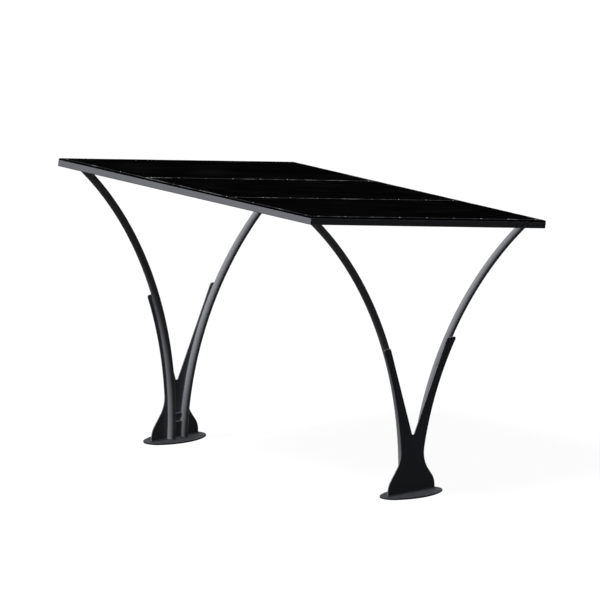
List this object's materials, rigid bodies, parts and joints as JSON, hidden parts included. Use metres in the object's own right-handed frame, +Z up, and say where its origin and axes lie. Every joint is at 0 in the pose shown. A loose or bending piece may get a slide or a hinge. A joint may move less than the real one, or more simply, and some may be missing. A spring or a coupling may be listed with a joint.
{
  "type": "bike shelter",
  "caption": "Open bike shelter: a gently pitched flat sheet roof on a steel frame, carried by forked columns of curved round tube with flared fork plates on oval ground plates.",
  "frame": {"origin": "on the ground, under the middle of the roof's outline", "axes": "+X along the eaves, the longest side; +Y down the roof's slope towards the low eave; +Z up"},
  "size_m": [3.148, 2.5562, 2.4583],
  "materials": {
    "steel": "dark grey powder coat, matte",
    "roof_sheet": "black, matte",
    "strip": "mill finish, dull"
  },
  "bodies": {
    "root": {"left_base_plate": "steel", "right_base_plate": "steel", "left_fork_plate": "steel", "right_fork_plate": "steel", "left_tie_plate": "steel", "right_tie_plate": "steel", "left_spacer_bar": "steel", "right_spacer_bar": "steel", "left_high_tube": "steel", "right_high_tube": "steel", "left_low_tube": "steel", "right_low_tube": "steel", "left_high_head": "steel", "right_high_head": "steel", "left_low_head": "steel", "right_low_head": "steel", "left_beam": "steel", "right_beam": "steel", "left_rafter": "steel", "right_rafter": "steel", "high_rail": "steel", "low_rail": "steel", "left_end_rail": "steel", "right_end_rail": "steel", "left_sheet": "roof_sheet", "middle_sheet": "roof_sheet", "right_sheet": "roof_sheet", "left_joint_strip": "strip", "right_joint_strip": "strip", "high_edge_strip": "strip", "low_edge_strip": "strip", "left_edge_strip": "strip", "right_edge_strip": "strip"}
  },
  "joints": []
}
